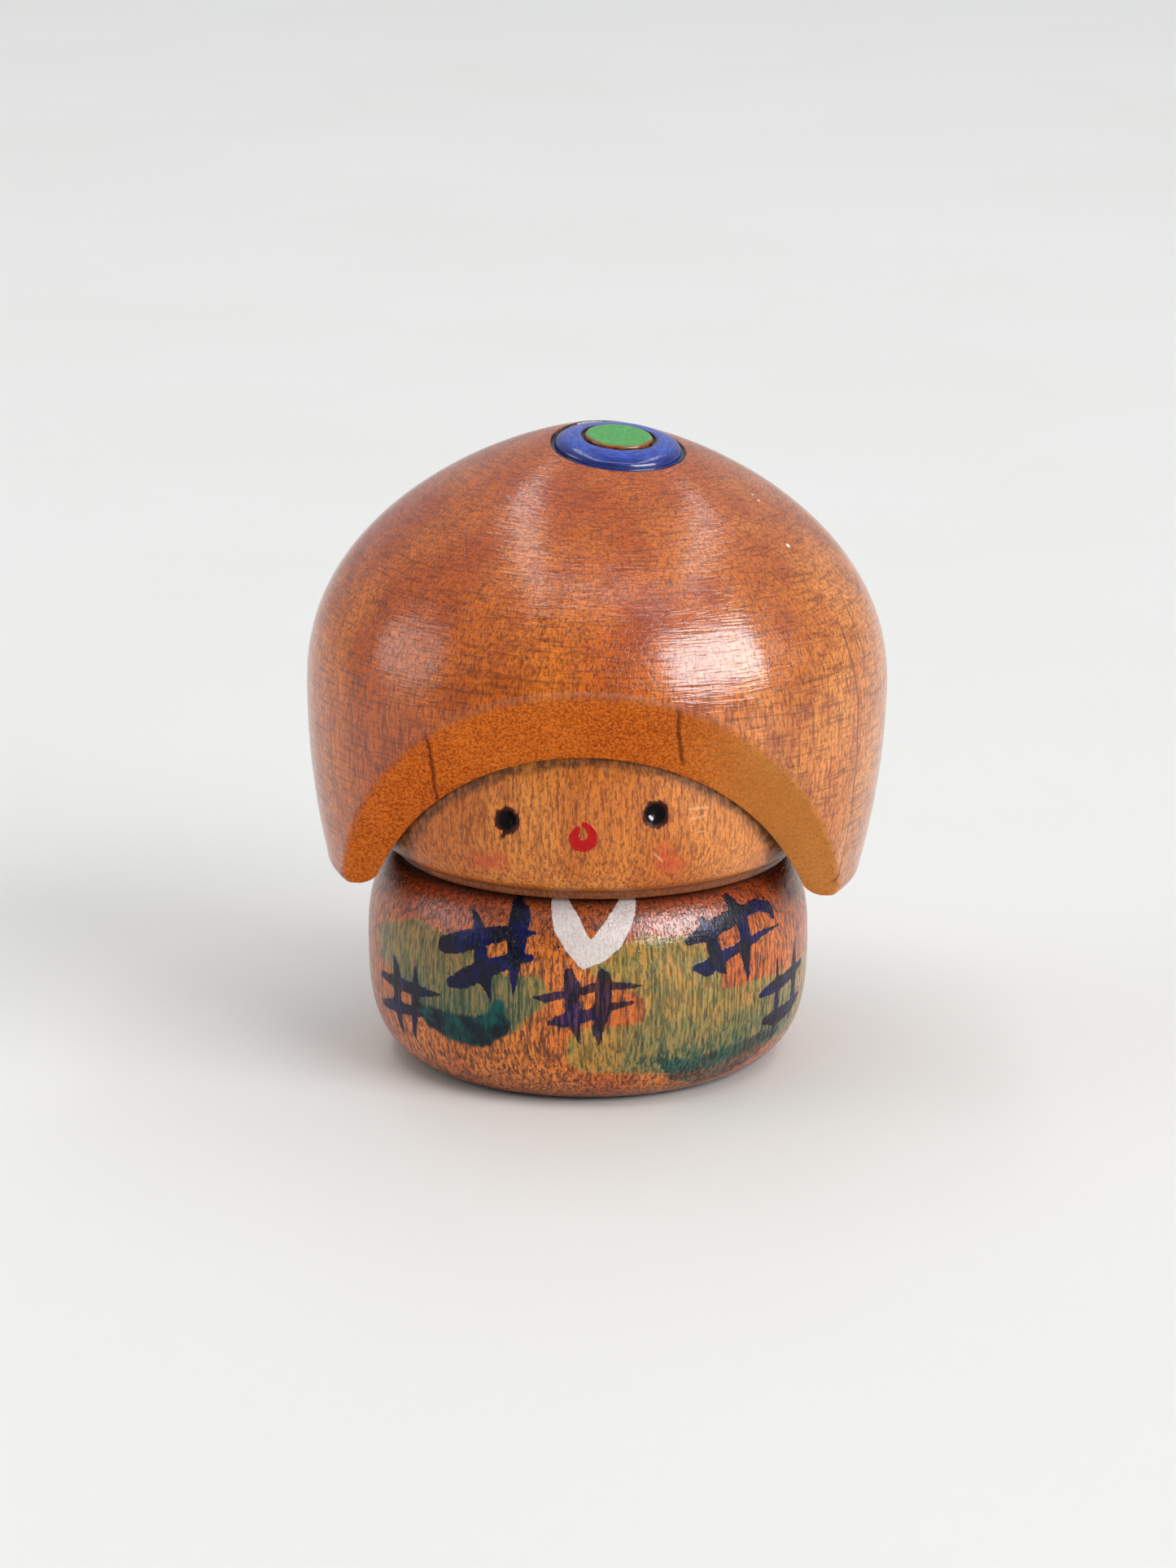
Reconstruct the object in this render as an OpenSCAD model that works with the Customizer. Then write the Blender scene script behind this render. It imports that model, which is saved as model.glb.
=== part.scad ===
// Small turned wooden doll: a barrel body, a bun-shaped head and a bell-shaped hood.
// The hood's front is sawn off by one slanting cut, so the face shows under it.
// The head turns on a dowel that sits in a socket in the body's top.
// Origin: centre of the flat foot. +Z points up and the face looks along -Y.
// All sizes are in millimetres.

/* [Body] */
// Radius of the barrel at its widest
body_r = 19.2; // [18.5:0.1:20]
// Height of the widest ring above the foot
body_waist = 11; // [9:0.5:13]
// Height of the barrel's flat top
body_h = 18.4; // [17.5:0.1:19]
// Radius of the flat foot
foot_r = 14.2; // [13:0.1:16]
// Radius of the flat top, where the head sits
shoulder_r = 15.5; // [14:0.5:16]

/* [Neck] */
// Radius of the dowel
dowel_r = 4; // [3:0.25:5]
// Running clearance between the dowel and its socket, on the radius
socket_play = 0.05; // [0.02:0.01:0.1]
// Depth of the socket in the body
socket_depth = 9; // [7:0.5:12]
// Depth of the dowel's hole in the head
head_hole_depth = 9; // [7:0.5:12]
// How far the dowel sits to the doll's left of the body's axis
neck_shift = 0.5; // [0:0.1:1]

/* [Head] */
// Radius of the head where it enters the hood
head_r = 20.1; // [19.9:0.05:20.15]
// Radius of the head's flat bottom
chin_r = 17.2; // [16.5:0.1:17.5]
// Height of the small bevel round the chin
chin_bevel = 0.8; // [0.4:0.1:1.2]
// Height of the swell from the bevel up to the full radius
cheek_h = 5.8; // [5:0.1:6.5]
// Gap between the head and the hood's hollow
seat_gap = 0.35; // [0.35:0.01:0.5]

/* [Hood] */
// Radius of the hood at its widest
hood_r = 25; // [24.5:0.1:26]
// Height of the hood's widest ring
hood_waist = 33.2; // [31:0.1:34]
// Height of the crown
hood_top = 55.6; // [54:0.1:58]
// Height of the lowest point of the rim
rim_z = 16.7; // [16.5:0.1:17.5]
// Outer radius at the rim
rim_r = 22.9; // [22.5:0.1:23.5]
// Radius of the hollow at the rim
hollow_r = 20.5; // [20.45:0.05:20.6]
// Height where the hollow starts to close in
hollow_bend_z = 22; // [20:0.5:23]
// Radius of the hollow at its ceiling
hollow_top_r = 17; // [16:0.1:18]
// Height of the hollow's ceiling
ceiling_z = 38; // [37:0.5:40]
// How far the hood leans to the doll's left, in degrees
hood_lean = 1.1; // [0:0.1:1.1]

/* [Front cut] */
// Height of the cut's upper edge on the front of the hood
brow_z = 37.6; // [36:0.1:38]
// Angle of the cut from the vertical, in degrees
cut_tilt = 37; // [34:0.5:40]
// Turn of the cut towards the doll's right, in degrees
cut_yaw = 1.7; // [0:0.1:4]

/* [Crown button] */
// Place of the painted button, measured from the crown along X and Y
button_pos = [1.35, -3.2]; // [-4:0.05:4]
// How far the button's own axis tips away from the crown, in degrees
button_tilt = 8.5; // [0:0.5:12]
// Radius of the button
button_r = 5.35; // [4.8:0.05:5.6]
// How far the button's edge lies below the hood's surface
button_sink = 0.2; // [0:0.05:0.3]
// Radius of the button's flat middle
button_eye_r = 2.85; // [2.6:0.05:3.2]
// Height of the flat middle above the button's edge
button_h = 1.05; // [0.6:0.05:1.1]
// Width of the burnt groove round the button, and of the one round its middle
groove_w = 0.35; // [0.25:0.05:0.4]
// Depth of the burnt grooves
groove_d = 0.25; // [0.15:0.05:0.35]

/* [Hidden] */
$fn = 96;
steps = 32;            // points along each curved stretch of a turned profile
foot_curve = [3.4, 1.75];    // exponents of the curve from the waist down to the foot
shoulder_curve = [2.2, 2];   // exponents of the curve from the waist up to the shoulder
crown_curve = [2.15, 1.5];  // exponents of the curve from the hood's waist to the crown
hollow_curve = [2.5, 1.2];   // exponents of the curve from the hollow's bend to its ceiling
lip_r = (rim_r - hollow_r) / 2;                 // radius of the rounded rim
end_play = 0.5;                                 // room below the dowel in its socket
cheek_z = body_h + chin_bevel + cheek_h;        // where the head reaches its full radius
wood = "peru";
pale_wood = "burlywood";
red_wood = "sienna";
overlap = 1;           // how far a cutting solid runs past the face it cuts

// How much of its full spread a curve still has at t, from 0 at its waist to 1 at its end.
function spread(t, curve) = pow(max(0, 1 - pow(t, curve[0])), 1 / curve[1]);

// Points of a curve from radius r0 at height z0 (its waist) to radius r1 at height z1.
// They crowd towards the end, where the curve turns fastest.
function swell(r0, z0, r1, z1, curve) =
    [for (i = [0:steps])
        let (t = sin(90 * i / steps))
        [r1 + (r0 - r1) * spread(t, curve), z0 + (z1 - z0) * t]];

// Outer radius of the hood at height z.
function hood_radius(z) =
    z > hood_waist
        ? hood_r * spread((z - hood_waist) / (hood_top - hood_waist), crown_curve)
        : hood_r - (hood_r - rim_r) * pow((hood_waist - z) / (hood_waist - rim_z), 2);

// Height of the hood's surface at radius r from its axis, above the waist.
function hood_height(r) =
    hood_waist + (hood_top - hood_waist)
        * pow(1 - pow(r / hood_r, crown_curve[1]), 1 / crown_curve[0]);

// The hollow's wall from its bend up to the ceiling.
function hollow_wall() = swell(hollow_r, hollow_bend_z, hollow_top_r, ceiling_z, hollow_curve);

function reversed(list) = [for (i = [len(list) - 1:-1:0]) list[i]];

// Moves its children from the hood's own upright axis to the leaning one.
module leaning() {
    translate([neck_shift, 0, body_h])
        rotate([0, hood_lean, 0])
            translate([0, 0, -body_h])
                children();
}

module body() {
    foot = reversed(swell(body_r, body_waist, foot_r, 0, foot_curve));
    shoulder = swell(body_r, body_waist, shoulder_r, body_h, shoulder_curve);
    color(wood)
        difference() {
            rotate_extrude()
                polygon(concat([[0, 0]], foot, [for (i = [1:steps]) shoulder[i]], [[0, body_h]]));
            translate([neck_shift, 0, body_h - socket_depth])
                cylinder(h = socket_depth + overlap, r = dowel_r + socket_play);
        }
}

module neck_dowel() {
    bottom = body_h - socket_depth + end_play;
    color(pale_wood)
        translate([neck_shift, 0, bottom])
            cylinder(h = body_h + head_hole_depth - bottom, r = dowel_r);
}

// The head follows the hollow with a gap, up to a flat top that is glued to the ceiling.
// The top is cut square to the hood's axis, which makes the hood lean.
module head() {
    bevel_top = [chin_r + 0.25, body_h + chin_bevel];
    cheek = [for (i = [0:steps])
        let (a = 90 * i / steps)
        [bevel_top[0] + (head_r - bevel_top[0]) * sin(a), cheek_z - cheek_h * cos(a)]];
    plug = [for (p = hollow_wall()) if (p[1] > cheek_z) [p[0] - seat_gap, p[1]]];
    color(pale_wood)
        difference() {
            intersection() {
                translate([neck_shift, 0, 0])
                    rotate_extrude()
                        polygon(concat(
                            [[0, body_h], [chin_r, body_h]],
                            cheek,
                            plug,
                            [[hollow_top_r - seat_gap, ceiling_z + overlap], [0, ceiling_z + overlap]]
                        ));
                leaning()
                    cylinder(h = ceiling_z, r = hood_r);
            }
            translate([neck_shift, 0, body_h - overlap])
                cylinder(h = head_hole_depth + overlap, r = dowel_r);
        }
}

// The turned bell, hollow from below, standing upright on its own axis.
module bell() {
    flank = [for (i = [0:steps])
        let (z = rim_z + lip_r + (hood_waist - rim_z - lip_r) * i / steps)
        [hood_radius(z), z]];
    crown = swell(hood_r, hood_waist, 0, hood_top, crown_curve);
    lip_out = hood_radius(rim_z + lip_r);
    lip = [for (i = [1:steps - 1])
        let (a = 180 * i / steps)
        [(lip_out + hollow_r) / 2 - (lip_out - hollow_r) / 2 * cos(a), rim_z + lip_r * (1 - sin(a))]];
    rotate_extrude()
        polygon(concat(
            [[0, ceiling_z]],
            reversed(hollow_wall()),
            [[hollow_r, rim_z + lip_r]],
            lip,
            flank,
            [for (i = [1:steps]) crown[i]]
        ));
}

// A block that takes away everything in front of the slanting cut.
module front_cut() {
    block = 4 * hood_r;
    rotate([0, 0, -cut_yaw])
        translate([0, -hood_radius(brow_z), brow_z])
            rotate([cut_tilt, 0, 0])
                translate([-block / 2, -block, -block / 2])
                    cube(block);
}

// Moves its children to the button's place and tips them onto its axis. The height of the
// button's edge is taken from the hood's surface, on average over its near and far sides.
module at_button() {
    reach = norm(button_pos);
    edge_z = (hood_height(reach + button_r) + hood_height(abs(reach - button_r))) / 2;
    translate([button_pos[0], button_pos[1], edge_z - button_sink])
        rotate([0, 0, atan2(button_pos[1], button_pos[0])])
            rotate([0, button_tilt, 0])
                children();
}

// A low turned button: a flat middle, a burnt groove, and a ring that slopes to the edge.
module button() {
    slope_r = button_eye_r + groove_w;
    slope_h = button_h - 0.2;
    shoulder = [for (i = [0:8])
        let (a = 90 * i / 8)
        [slope_r + (button_r - slope_r) * sin(a), slope_h * cos(a)]];
    rotate_extrude()
        polygon(concat(
            [
                [0, -2],
                [0, button_h],
                [button_eye_r - 0.15, button_h],
                [button_eye_r, button_h - 0.1],
                [button_eye_r, slope_h - groove_d],
                [slope_r, slope_h - groove_d]
            ],
            shoulder,
            [[button_r, -2]]
        ));
}

module hood() {
    color(red_wood)
        leaning() {
            difference() {
                bell();
                front_cut();
                at_button()
                    translate([0, 0, -groove_d])
                        cylinder(h = 3, r = button_r + groove_w);
            }
            at_button()
                button();
        }
}

body();
neck_dowel();
head();
hood();
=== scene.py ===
"""Looks of a small turned and painted wooden doll: barrel body, bun-shaped head, bell-shaped hood.

The body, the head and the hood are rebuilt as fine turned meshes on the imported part's own
sizes. Paint is brush strokes laid on the turned surfaces; wood, varnish and paint are
procedural materials. Shapes are worked out in millimetres. Angles run from the doll's
front (-Y) towards its left (+X).
"""

import math

import bpy
import numpy as np
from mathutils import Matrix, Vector


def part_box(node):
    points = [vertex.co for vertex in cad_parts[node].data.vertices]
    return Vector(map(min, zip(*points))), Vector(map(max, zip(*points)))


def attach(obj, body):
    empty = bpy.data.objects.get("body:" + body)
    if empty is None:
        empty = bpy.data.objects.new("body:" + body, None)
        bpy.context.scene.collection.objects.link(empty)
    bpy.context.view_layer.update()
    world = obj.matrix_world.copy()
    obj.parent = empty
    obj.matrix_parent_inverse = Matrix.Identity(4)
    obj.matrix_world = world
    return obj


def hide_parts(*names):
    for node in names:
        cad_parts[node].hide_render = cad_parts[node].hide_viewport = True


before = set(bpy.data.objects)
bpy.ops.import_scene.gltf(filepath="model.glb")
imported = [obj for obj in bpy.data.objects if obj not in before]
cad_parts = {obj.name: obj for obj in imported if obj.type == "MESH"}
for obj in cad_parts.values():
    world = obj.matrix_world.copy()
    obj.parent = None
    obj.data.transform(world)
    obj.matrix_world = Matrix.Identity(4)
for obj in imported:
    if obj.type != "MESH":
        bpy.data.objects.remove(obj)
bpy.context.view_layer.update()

MM = 1000.0  # millimetres in a metre
FAR = 99.0  # a distance well past every brush stroke, in millimetres


def box_mm(node):
    """Lowest and highest corner of a CAD node, in millimetres."""
    low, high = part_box(node)
    return np.array(low) * MM, np.array(high) * MM


# ---- sizes from the frame
BODY_LOW, BODY_HIGH = box_mm("body")
HEAD_LOW, HEAD_HIGH = box_mm("head")
DOWEL_LOW, DOWEL_HIGH = box_mm("neck_dowel")
HOOD_LOW, HOOD_HIGH = box_mm("hood")
BODY_R = (BODY_HIGH[0] - BODY_LOW[0]) / 2
BODY_H = BODY_HIGH[2]
HEAD_R = (HEAD_HIGH[0] - HEAD_LOW[0]) / 2
HOOD_R = (HOOD_HIGH[0] - HOOD_LOW[0]) / 2
DOWEL_R = (DOWEL_HIGH[0] - DOWEL_LOW[0]) / 2
NECK_X = (DOWEL_HIGH[0] + DOWEL_LOW[0]) / 2

# ---- shape, as in the CAD part
BODY_WAIST = 11.0
FOOT_R = 14.2
SHOULDER_R = 15.5
FOOT_CURVE = (3.4, 1.75)
SHOULDER_CURVE = (2.2, 2.0)
SOCKET_PLAY = 0.05
SOCKET_DEPTH = 9.0
SOCKET_EDGE = 0.3  # worn chamfer round the socket
SHOULDER_EDGE = 0.4  # step from the shoulder's curve in to the flat top
BODY_COLUMNS = 400

CHIN_R = 17.2
CHIN_BEVEL = 0.8
CHIN_FLARE = 0.25
CHEEK_H = 5.8
CHIN_EDGE = 0.1  # tiny bevel where the chin meets the flat bottom
HEAD_HOLE_DEPTH = 9.0
HEAD_COLUMNS = 420
SEAT_GAP = 0.35

HOOD_WAIST = 33.2
HOOD_TOP = 55.6
CROWN_CURVE = (2.15, 1.5)
RIM_Z = 16.7
RIM_R = 22.9
HOLLOW_R = 20.5
HOLLOW_BEND = 22.0
HOLLOW_TOP_R = 17.0
HOLLOW_CURVE = (2.5, 1.2)
CEILING = 38.0
HOOD_LEAN = math.radians(1.1)

BROW_Z = 37.6
CUT_TILT = math.radians(37)
CUT_YAW = math.radians(1.7)
SANDED_EDGE = 0.55  # how far the sanding rounds the cut's outer edge
CRISP_EDGE = 0.12  # the same for its inner edge

BUTTON_POS = np.array([1.35, -3.2])
BUTTON_TILT = math.radians(8.5)
BUTTON_R = 5.35
BUTTON_SINK = 0.2
BUTTON_EYE_R = 2.85
BUTTON_H = 1.05
BUTTON_SHOULDER = BUTTON_H - 0.2
GROOVE_W = 0.35
GROOVE_D = 0.25
GROOVE_LEAN = 0.06  # how far the walls of the groove round the eye lean
BUTTON_BEVEL = 0.12  # bevel round the button's flat middle
POCKET_BEVEL = 0.07  # bevel where the wall of the button's pocket meets the hood
POCKET_START = 0.06  # depth of the first ring on the pocket's inner wall
POCKET_LEAN = 0.04  # how far that wall leans
POCKET_INSET = 0.05  # from the last ring on the pocket's floor to its outer wall

CHEEK_Z = BODY_H + CHIN_BEVEL + CHEEK_H
CENTRE_R = 0.5  # radius of the innermost ring of points, which one point closes
BUTTON_CENTRE_R = 0.3  # the same on the button
CROWN_ROWS = 900  # points of the uncut bell's profile above its waist


# ---- turned profiles
def spread(t, curve):
    """How much of its full spread a curve still has at t, from 0 at its waist to 1 at its end."""
    return np.maximum(0, 1 - t ** curve[0]) ** (1 / curve[1])


def swell(r0, z0, r1, z1, curve, count):
    """Points of a curve from its waist (r0, z0) to its end (r1, z1), closest where it turns fastest."""
    t = np.sin(np.linspace(0, math.pi / 2, count))
    return np.column_stack([r1 + (r0 - r1) * spread(t, curve), z0 + (z1 - z0) * t])


def line(start, end, count):
    """Points from start to end, without end itself."""
    t = np.arange(count)[:, None] / count
    return np.array(start) * (1 - t) + np.array(end) * t


def path(corners, counts):
    """Points along straight lines from corner to corner, without the last corner."""
    return np.vstack([line(*ends) for ends in zip(corners, corners[1:], counts)])


def hood_radius(z):
    """Outer radius of the hood at height z on its own axis."""
    crown = HOOD_R * spread(np.clip((z - HOOD_WAIST) / (HOOD_TOP - HOOD_WAIST), 0, 1), CROWN_CURVE)
    flank = HOOD_R - (HOOD_R - RIM_R) * ((HOOD_WAIST - z) / (HOOD_WAIST - RIM_Z)) ** 2
    return np.where(z > HOOD_WAIST, crown, flank)


def hood_height(r):
    """Height of the hood's surface at radius r, above its waist."""
    share = np.clip(1 - (r / HOOD_R) ** CROWN_CURVE[1], 0, 1) ** (1 / CROWN_CURVE[0])
    return HOOD_WAIST + (HOOD_TOP - HOOD_WAIST) * share


def body_profile():
    """The barrel from the middle of its foot, up the outside, to the bottom of its socket."""
    socket_r = DOWEL_R + SOCKET_PLAY
    foot = swell(BODY_R, BODY_WAIST, FOOT_R, 0, FOOT_CURVE, 48)[::-1]
    shoulder = swell(BODY_R, BODY_WAIST, SHOULDER_R, BODY_H, SHOULDER_CURVE, 40)[1:]
    return np.vstack([
        line((2 * CENTRE_R, 0), (FOOT_R, 0), 12),
        foot,
        shoulder,
        path([
            (SHOULDER_R - SHOULDER_EDGE, BODY_H),
            (socket_r + SOCKET_EDGE, BODY_H),
            (socket_r, BODY_H - SOCKET_EDGE),
            (socket_r, BODY_H - SOCKET_DEPTH),
            (0, BODY_H - SOCKET_DEPTH),
        ], [10, 3, 8, 4]),
    ])


def head_profile():
    """The head from the top of its dowel hole, over the chin and cheeks, to its glued top."""
    hole_top = BODY_H + HEAD_HOLE_DEPTH
    bevel_top = (CHIN_R + CHIN_FLARE, BODY_H + CHIN_BEVEL)
    turn = np.linspace(0, math.pi / 2, 40)
    cheek = np.column_stack([
        bevel_top[0] + (HEAD_R - bevel_top[0]) * np.sin(turn),
        CHEEK_Z - CHEEK_H * np.cos(turn),
    ])
    wall = swell(HOLLOW_R, HOLLOW_BEND, HOLLOW_TOP_R, CEILING, HOLLOW_CURVE, 120)
    plug = wall[wall[:, 1] > CHEEK_Z] - [SEAT_GAP, 0]
    return np.vstack([
        path([
            (CENTRE_R, hole_top),
            (DOWEL_R, hole_top),
            (DOWEL_R, BODY_H),
            (CHIN_R - CHIN_EDGE, BODY_H),
            (CHIN_R, BODY_H + CHIN_EDGE),
            bevel_top,
        ], [3, 8, 10, 1, 5]),
        cheek[1:],
        plug,
        line((HOLLOW_TOP_R - SEAT_GAP - CENTRE_R, CEILING), (0, CEILING), 8),
    ])


def bell_profile():
    """The uncut bell from its crown down the outside, round the rim and up the hollow.

    Comes with the height where the rounded rim starts.
    """
    lip_r = (RIM_R - HOLLOW_R) / 2
    lip_top = RIM_Z + lip_r
    crown = swell(HOOD_R, HOOD_WAIST, 0, HOOD_TOP, CROWN_CURVE, CROWN_ROWS)[::-1]
    flank_z = np.linspace(HOOD_WAIST, lip_top, 400)[1:]
    flank = np.column_stack([hood_radius(flank_z), flank_z])
    turn = np.linspace(0, math.pi, 160)[1:]
    out_r = float(hood_radius(lip_top))
    lip = np.column_stack([
        (out_r + HOLLOW_R) / 2 + (out_r - HOLLOW_R) / 2 * np.cos(turn),
        RIM_Z + lip_r * (1 - np.sin(turn)),
    ])
    hollow = swell(HOLLOW_R, HOLLOW_BEND, HOLLOW_TOP_R, CEILING, HOLLOW_CURVE, 400)
    ceiling = line((HOLLOW_TOP_R, CEILING), (CENTRE_R, CEILING), 100)[1:]
    return np.vstack([crown, flank, lip, hollow, ceiling]), lip_top


# ---- meshes
def ring(count):
    """Angles evenly round a turned piece."""
    return np.arange(count) * 2 * math.pi / count - math.pi


def revolve(profile, angles, centre_x=0.0):
    """A grid of points, rows along the profile and columns round the axis."""
    r = profile[:, :1]
    z = np.broadcast_to(profile[:, 1:], (len(profile), len(angles)))
    return np.stack([centre_x + r * np.sin(angles), -r * np.cos(angles), z], axis=-1)


def arc_length(profile):
    """Distance along a profile at each of its points."""
    steps = np.hypot(*np.diff(profile, axis=0).T)
    return np.concatenate([[0], np.cumsum(steps)])


def turned_coordinates(lengths, angles):
    """Seamless coordinates of a turned surface: the direction round it and the way along it."""
    along = np.broadcast_to(lengths, (len(lengths), len(angles)))
    around = np.broadcast_to(angles, along.shape)
    return np.stack([np.cos(around), np.sin(around), along], axis=-1)


def closed_mesh(name, grid, attributes):
    """A closed skin over a grid of points in millimetres, its two ends closed by a point each.

    attributes are numbers or vectors for each grid point, which the materials read by name.
    """
    rows, columns = grid.shape[:2]
    index = np.arange(rows * columns).reshape(rows, columns)
    beside = np.roll(index, -1, axis=1)
    quads = np.stack([index[:-1], beside[:-1], beside[1:], index[1:]], axis=-1).reshape(-1, 4)
    first, last = rows * columns, rows * columns + 1
    caps = [(first, b, a) for a, b in zip(index[0], beside[0])]
    caps += [(last, a, b) for a, b in zip(index[-1], beside[-1])]
    faces = quads.tolist() + [tuple(int(i) for i in cap) for cap in caps]

    def with_ends(values):
        values = values.reshape(rows, columns, -1)
        ends = [values[0].mean(0), values[-1].mean(0)]
        return np.vstack([values.reshape(rows * columns, -1), ends])

    mesh = bpy.data.meshes.new(name)
    points = with_ends(grid) / MM
    mesh.from_pydata(points.tolist(), [], faces)
    corners = points[quads]
    outward = np.cross(corners[:, 2] - corners[:, 0], corners[:, 3] - corners[:, 1])
    if np.sum(corners.mean(1) * outward) < 0:
        mesh.flip_normals()
    for key, values in attributes.items():
        flat = with_ends(values)
        kind, field = ("FLOAT", "value") if flat.shape[1] == 1 else ("FLOAT_VECTOR", "vector")
        stored = mesh.attributes.new(key, kind, "POINT")
        stored.data.foreach_set(field, flat.astype(np.float32).ravel())
    mesh.shade_smooth()
    mesh.validate()
    return mesh


def link(name, data):
    """Puts a mesh, a lamp or a camera into the scene."""
    thing = bpy.data.objects.new(name, data)
    bpy.context.scene.collection.objects.link(thing)
    return thing


def add_piece(mesh, material, node, body):
    """Shows mesh in place of a CAD node, on its body and with its material."""
    piece = link(mesh.name, mesh)
    mesh.materials.append(material)
    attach(piece, body)
    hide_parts(node)


# ---- brush strokes
def stroke_distance(u, v, stroke, around=None):
    """Distance from the edge of a brush stroke, below 0 inside it.

    A stroke is a list of (u, v, half width). around is the length after which u repeats.
    """
    best = np.full(np.broadcast(u, v).shape, FAR)
    start_u = stroke[0][0]
    if around:
        u = (u - start_u + around / 2) % around - around / 2 + start_u
    for (u0, v0, w0), (u1, v1, w1) in zip(stroke, stroke[1:]):
        du, dv = u1 - u0, v1 - v0
        t = np.clip(((u - u0) * du + (v - v0) * dv) / (du * du + dv * dv), 0, 1)
        gap = np.hypot(u - u0 - t * du, v - v0 - t * dv) - (w0 + t * (w1 - w0))
        best = np.minimum(best, gap)
    return best


def strokes_distance(u, v, strokes, around=None):
    """The same for several strokes of one colour."""
    return np.min([stroke_distance(u, v, stroke, around) for stroke in strokes], axis=0)


# Each navy mark is two upright and two level strokes, and how much paint the brush held.
# u is the way round the body at its widest, v the height, both with the half width in millimetres.
NAVY_MARKS = [
    (1, [
        [(-10.8, 16.8, 0.2), (-10.1, 15.8, 0.5), (-9.5, 13.5, 0.7), (-9, 11.5, 0.65), (-8.4, 9.5, 0.1)],
        [(-6.8, 17.8, 0.5), (-6.2, 16.8, 1), (-6.2, 15, 0.9), (-6.3, 12.5, 0.5), (-6.4, 10.3, 0.08)],
        [(-13.2, 13.7, 0.8), (-11.5, 14.2, 0.95), (-9.5, 14.9, 0.75), (-7, 15.5, 0.6), (-4.6, 15.7, 0.1)],
        [(-12.4, 10.5, 0.5), (-11, 11.1, 0.85), (-9, 12.3, 0.85), (-7, 13.1, 0.6), (-4.9, 13.7, 0.35)],
    ]),
    (0.7, [
        [(-20, 10.8, 0.3), (-19.5, 9.5, 0.65), (-19.6, 7, 0.6), (-19.6, 5.2, 0.4), (-19.5, 4, 0.1)],
        [(-16.7, 10.9, 0.2), (-16.7, 9, 0.5), (-16.9, 7, 0.5), (-17.4, 5.2, 0.3), (-17.6, 4, 0.1)],
        [(-22.6, 8.7, 0.3), (-19.5, 8.8, 0.6), (-16.5, 8.9, 0.55), (-13.6, 9.1, 0.1)],
        [(-22.7, 6.1, 0.35), (-20, 6.6, 0.6), (-17.5, 6.8, 0.5), (-16.2, 6.8, 0.3)],
    ]),
    (0.5, [
        [(-1.6, 12.6, 0.4), (-1.4, 11.5, 0.65), (-1.3, 9.5, 0.65), (-1.1, 8, 0.45), (-0.6, 6.1, 0.08)],
        [(1, 13, 0.15), (1.3, 12.2, 0.6), (1.3, 10.5, 0.7), (1.1, 8.5, 0.6), (0.8, 7.2, 0.4),
         (1.1, 5.9, 0.08)],
        [(-4.6, 10.2, 0.1), (-3.5, 10.3, 0.4), (-1.5, 10.8, 0.3), (1.5, 11.5, 0.45), (4.5, 11.3, 0.15)],
        [(-3.2, 8.1, 0.25), (-2, 8.4, 0.6), (0, 8.9, 0.55), (2, 9.6, 0.35), (4.1, 9.9, 0.08)],
    ]),
    (0.75, [
        [(10.6, 16.1, 0.3), (11.2, 14.5, 0.6), (11.5, 13, 0.7), (11.9, 12.1, 0.6), (12.6, 11.2, 0.08)],
        [(14.1, 17.1, 0.5), (14.6, 16, 0.85), (15, 14.5, 0.65), (14.8, 12.5, 0.55), (15.2, 9.8, 0.08)],
        [(8.9, 14.6, 0.35), (10.5, 15, 0.7), (13, 15.6, 0.7), (15.5, 16, 0.5), (17.5, 16.1, 0.5),
         (18.9, 15.6, 0.5), (19.1, 14.9, 0.35)],
        [(9.5, 12.3, 0.35), (10.6, 12.1, 0.75), (12.5, 12.9, 0.55), (15, 13.4, 0.4), (17, 13.8, 0.3),
         (20, 13.9, 0.08)],
    ]),
    (0.65, [
        [(19.3, 11, 0.15), (19.3, 8.5, 0.3), (19.3, 6.5, 0.4), (19.6, 3.6, 0.1)],
        [(22.7, 11.5, 0.2), (22.6, 9, 0.6), (22.6, 7, 0.5), (22.5, 4.6, 0.15)],
        [(16.8, 8.4, 0.3), (18.5, 8.6, 0.6), (21, 8.9, 0.6), (24.6, 9.3, 0.3)],
        [(17.7, 5.8, 0.4), (19.5, 5.7, 0.8), (21.5, 5.8, 0.7), (24.2, 6.4, 0.3)],
    ]),
]

# Marks for the back, which repeat the front ones (by number) further round and higher or lower.
BACK_MARKS = [(2, 36.5, 1.6), (0, 58, -2), (2, -31.5, -0.5), (3, -60.5, -0.8)]

COLLAR_STROKES = [
    [(-2.7, 17.9, 0.8), (-1.9, 16.5, 1.2), (-1, 15, 1.1), (-0.5, 13.5, 0.5)],
    [(3.9, 18, 0.7), (3.1, 16.9, 1), (2, 15.5, 1.15), (0.7, 14.3, 1), (-0.3, 13.4, 0.5)],
]

OLIVE_STROKES = [
    [(-21.5, 11.8, 1.8), (-17, 11.8, 3.2), (-12, 10.4, 4.2), (-8, 9.4, 2.8), (-4.9, 10.6, 1.6)],
    [(1, 13.3, 1), (5, 13, 2.5), (8.4, 11.5, 3.6), (8.4, 8, 3.6)],
    [(0.2, 5.6, 2.1), (4, 5.6, 2.3), (10, 6.2, 3.6), (16, 6.8, 3.2), (22, 6.4, 3.2),
     (28, 7.4, 2.4)],
    [(34, 12, 1.6), (39, 10.6, 3), (43, 8.2, 2.4)],
    [(54, 8, 2.2), (58.5, 10.2, 3.4), (63, 9.6, 2.4)],
    [(-42, 6.6, 1.8), (-37, 8, 3.2), (-32, 10.5, 2.6)],
]

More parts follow.
